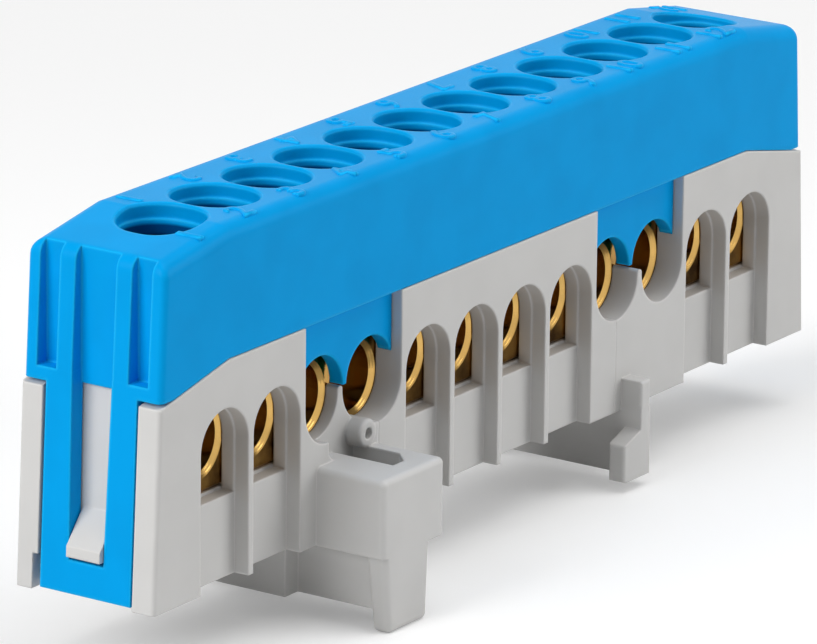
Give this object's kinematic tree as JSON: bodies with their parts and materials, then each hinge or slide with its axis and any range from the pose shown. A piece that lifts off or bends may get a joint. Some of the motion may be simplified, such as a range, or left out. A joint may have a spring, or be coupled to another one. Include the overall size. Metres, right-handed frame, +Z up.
{
  "type": "neutral terminal bar",
  "caption": "Long terminal bar with a grey rail-mounted carrier, a blue clip-on cover and a brass bar that clamps wires under screws.",
  "frame": {"origin": "on the carrier's underside, where it seats on the mounting rail, below the middle of the row of screws", "axes": "+X along the bar, from the end with the release box to the end with the claws; wires enter on the -Y side; +Z up, towards the screws"},
  "size_m": [0.089, 0.0204, 0.033],
  "materials": {
    "carrier_plastic": "fine matt moulded, light grey",
    "cover_plastic": "satin moulded, light blue",
    "brass": "bright machined",
    "screw_steel": "zinc plated"
  },
  "bodies": {
    "housing": {"carrier_left": "carrier_plastic", "carrier_middle": "carrier_plastic", "carrier_right": "carrier_plastic", "cover": "cover_plastic", "brass_bar": "brass"},
    "screw_01": {"screw_01": "screw_steel"},
    "screw_02": {"screw_02": "screw_steel"},
    "screw_03": {"screw_03": "screw_steel"},
    "screw_04": {"screw_04": "screw_steel"},
    "screw_05": {"screw_05": "screw_steel"},
    "screw_06": {"screw_06": "screw_steel"},
    "screw_07": {"screw_07": "screw_steel"},
    "screw_08": {"screw_08": "screw_steel"},
    "screw_09": {"screw_09": "screw_steel"},
    "screw_10": {"screw_10": "screw_steel"},
    "screw_11": {"screw_11": "screw_steel"},
    "screw_12": {"screw_12": "screw_steel"}
  },
  "joints": [
    {"name": "screw_01_travel", "type": "slide", "parent": "housing", "child": "screw_01", "axis": [0, 0, 1], "range_m": [-0.0035, 0]},
    {"name": "screw_02_travel", "type": "slide", "parent": "housing", "child": "screw_02", "axis": [0, 0, 1], "range_m": [-0.0035, 0]},
    {"name": "screw_03_travel", "type": "slide", "parent": "housing", "child": "screw_03", "axis": [0, 0, 1], "range_m": [-0.0035, 0]},
    {"name": "screw_04_travel", "type": "slide", "parent": "housing", "child": "screw_04", "axis": [0, 0, 1], "range_m": [-0.0035, 0]},
    {"name": "screw_05_travel", "type": "slide", "parent": "housing", "child": "screw_05", "axis": [0, 0, 1], "range_m": [-0.0035, 0]},
    {"name": "screw_06_travel", "type": "slide", "parent": "housing", "child": "screw_06", "axis": [0, 0, 1], "range_m": [-0.0035, 0]},
    {"name": "screw_07_travel", "type": "slide", "parent": "housing", "child": "screw_07", "axis": [0, 0, 1], "range_m": [-0.0035, 0]},
    {"name": "screw_08_travel", "type": "slide", "parent": "housing", "child": "screw_08", "axis": [0, 0, 1], "range_m": [-0.0035, 0]},
    {"name": "screw_09_travel", "type": "slide", "parent": "housing", "child": "screw_09", "axis": [0, 0, 1], "range_m": [-0.0035, 0]},
    {"name": "screw_10_travel", "type": "slide", "parent": "housing", "child": "screw_10", "axis": [0, 0, 1], "range_m": [-0.0035, 0]},
    {"name": "screw_11_travel", "type": "slide", "parent": "housing", "child": "screw_11", "axis": [0, 0, 1], "range_m": [-0.0035, 0]},
    {"name": "screw_12_travel", "type": "slide", "parent": "housing", "child": "screw_12", "axis": [0, 0, 1], "range_m": [-0.0035, 0]}
  ]
}
